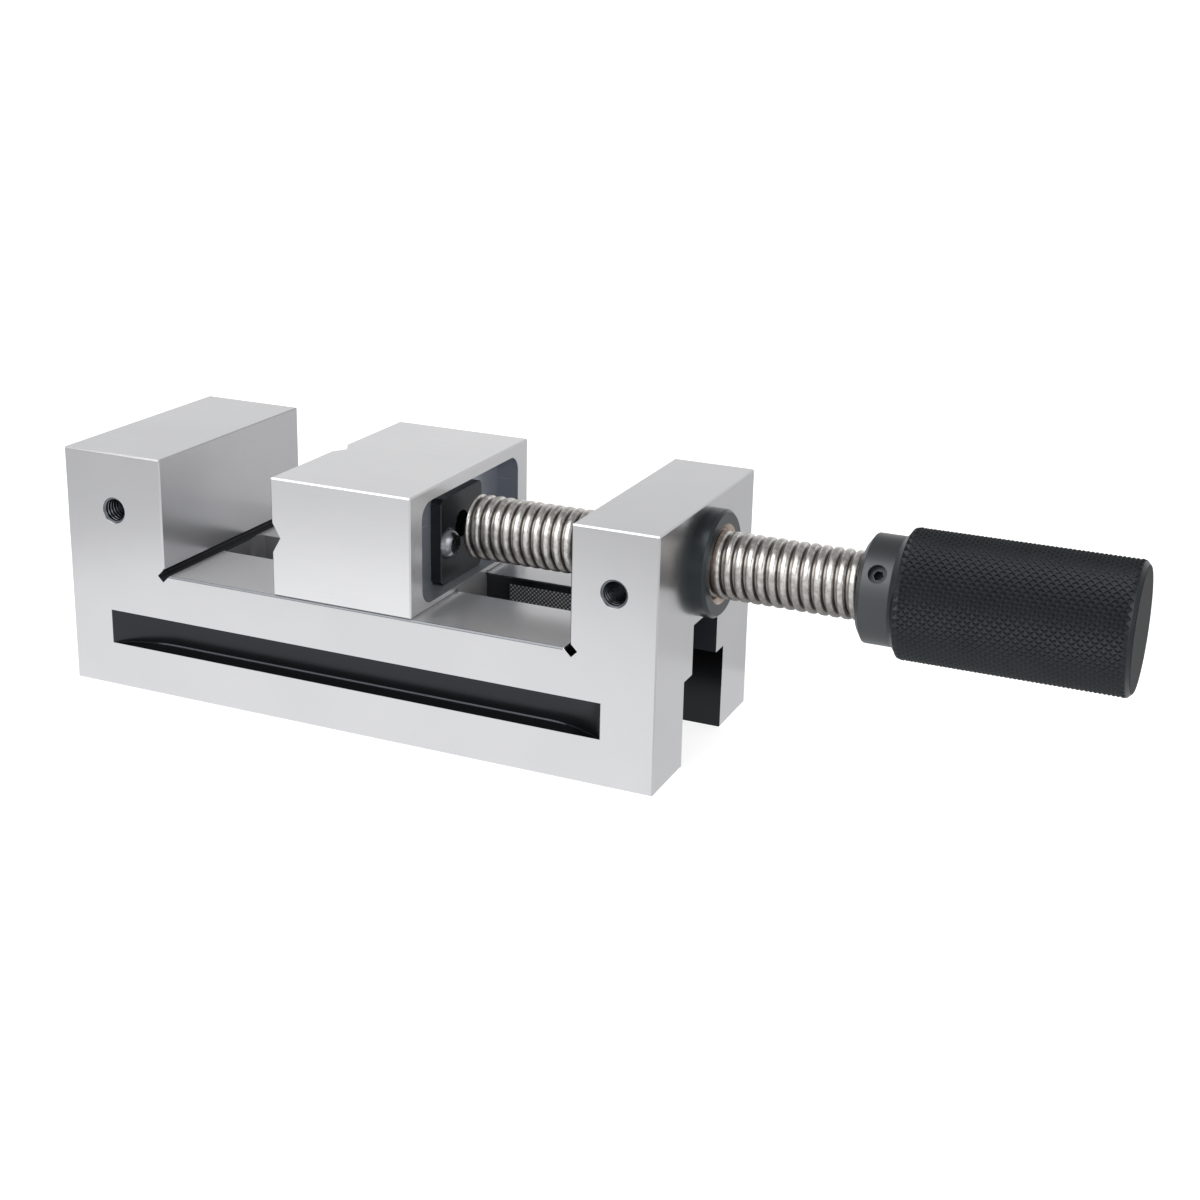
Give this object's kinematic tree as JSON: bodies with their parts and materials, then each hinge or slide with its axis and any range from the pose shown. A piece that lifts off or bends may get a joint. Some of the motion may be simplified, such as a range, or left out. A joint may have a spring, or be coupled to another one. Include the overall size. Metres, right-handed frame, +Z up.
{
  "type": "toolmakers vise",
  "caption": "Low ground-steel precision vise with a fixed jaw, a vee-grooved sliding jaw keyed into a channel in the bed, and a screw with a knurled handle.",
  "frame": {"origin": "on the surface that the vise stands on, under the middle of its whole length and width", "axes": "+X from the fixed jaw towards the handle, +Z up from the base, Y across the jaws"},
  "size_m": [0.3066, 0.073, 0.0733],
  "materials": {
    "ground_steel": "surface ground",
    "bright_steel": "bright turned",
    "black_oxide": "black oxide, satin"
  },
  "bodies": {
    "base": {"body": "ground_steel", "spindle_nut": "black_oxide"},
    "jaw": {"sliding_jaw": "ground_steel", "keeper_plate": "ground_steel", "keeper_screws": "black_oxide", "retaining_plate": "black_oxide", "retaining_screws": "black_oxide"},
    "screw": {"spindle": "bright_steel", "thrust_collar": "bright_steel", "thrust_pin": "bright_steel", "handle": "black_oxide", "handle_set_screw": "black_oxide"}
  },
  "joints": [
    {"name": "jaw_slide", "type": "slide", "parent": "base", "child": "jaw", "axis": [1, 0, 0], "range_m": [-0.0378, 0.048]},
    {"name": "spindle_turn", "type": "hinge", "parent": "jaw", "child": "screw", "pos_m": [0, 0, 0.0555], "axis": [1, 0, 0], "range_deg": [-4290, 5445]}
  ],
  "couplings": [
    {"joint": "spindle_turn", "follows": "jaw_slide", "rad_per_m": 1979}
  ]
}
